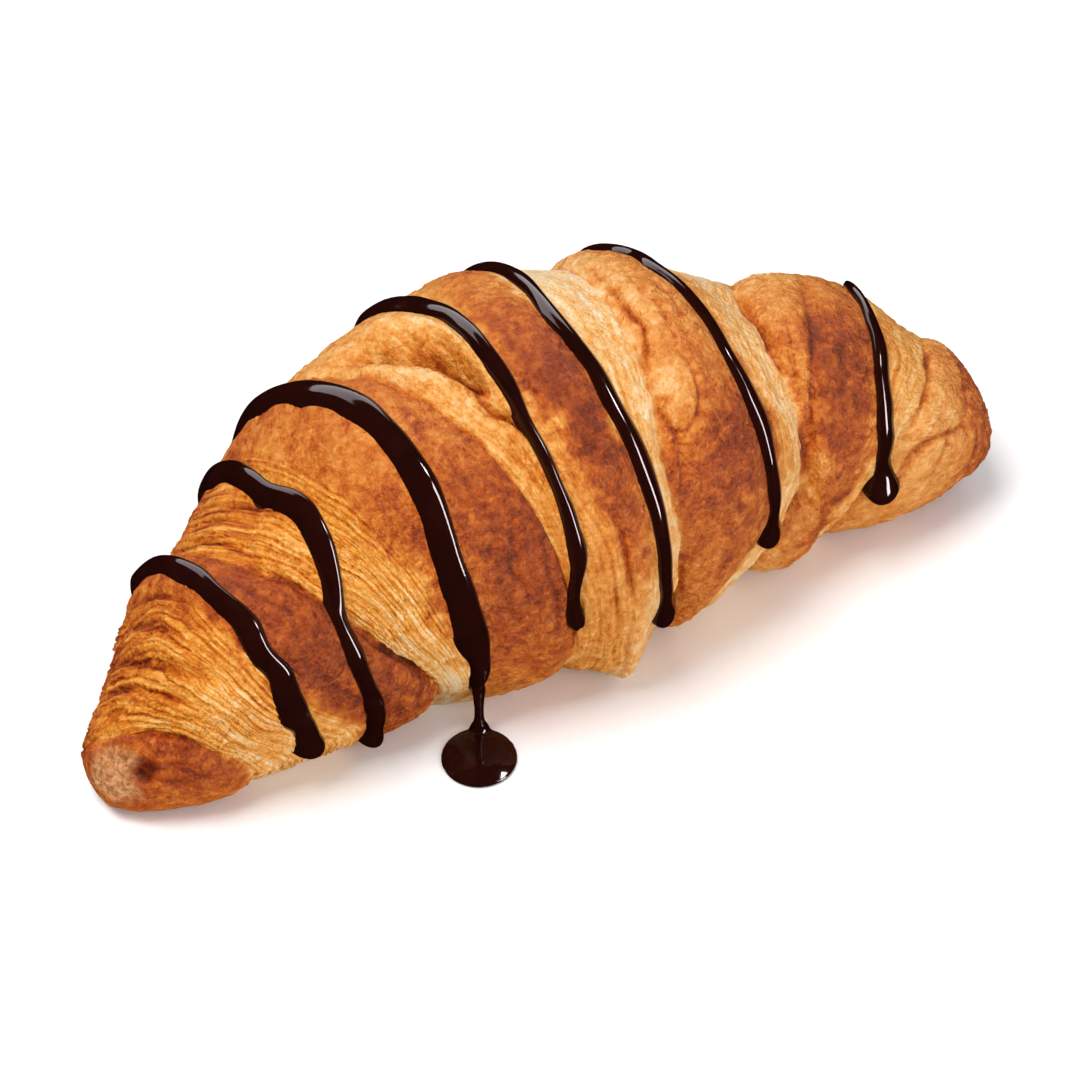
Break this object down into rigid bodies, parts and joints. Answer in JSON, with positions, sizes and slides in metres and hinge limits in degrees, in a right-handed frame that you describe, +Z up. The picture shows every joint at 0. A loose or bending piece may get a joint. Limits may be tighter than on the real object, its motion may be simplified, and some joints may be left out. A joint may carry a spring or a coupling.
{
  "type": "croissant with chocolate sauce",
  "caption": "Baked crescent-rolled pastry with stepped, layered bands and glossy chocolate stripes, one running down into a small round pool.",
  "frame": {"origin": "under the middle of the whole part's bounding box, on the surface it rests on", "axes": "+X runs from the thick-lipped tip to the slim tip, -Y faces the hollow side of the bow, +Z is up"},
  "size_m": [0.162, 0.074, 0.0566],
  "materials": {
    "crust": "egg-washed golden-brown baked crust",
    "chocolate": "glossy dark chocolate sauce, set"
  },
  "bodies": {
    "root": {"croissant": "crust", "chocolate_stripe_1": "chocolate", "chocolate_stripe_2": "chocolate", "chocolate_stripe_3": "chocolate", "chocolate_stripe_4": "chocolate", "chocolate_stripe_5": "chocolate", "chocolate_stripe_6": "chocolate", "chocolate_stripe_7": "chocolate"}
  },
  "joints": []
}
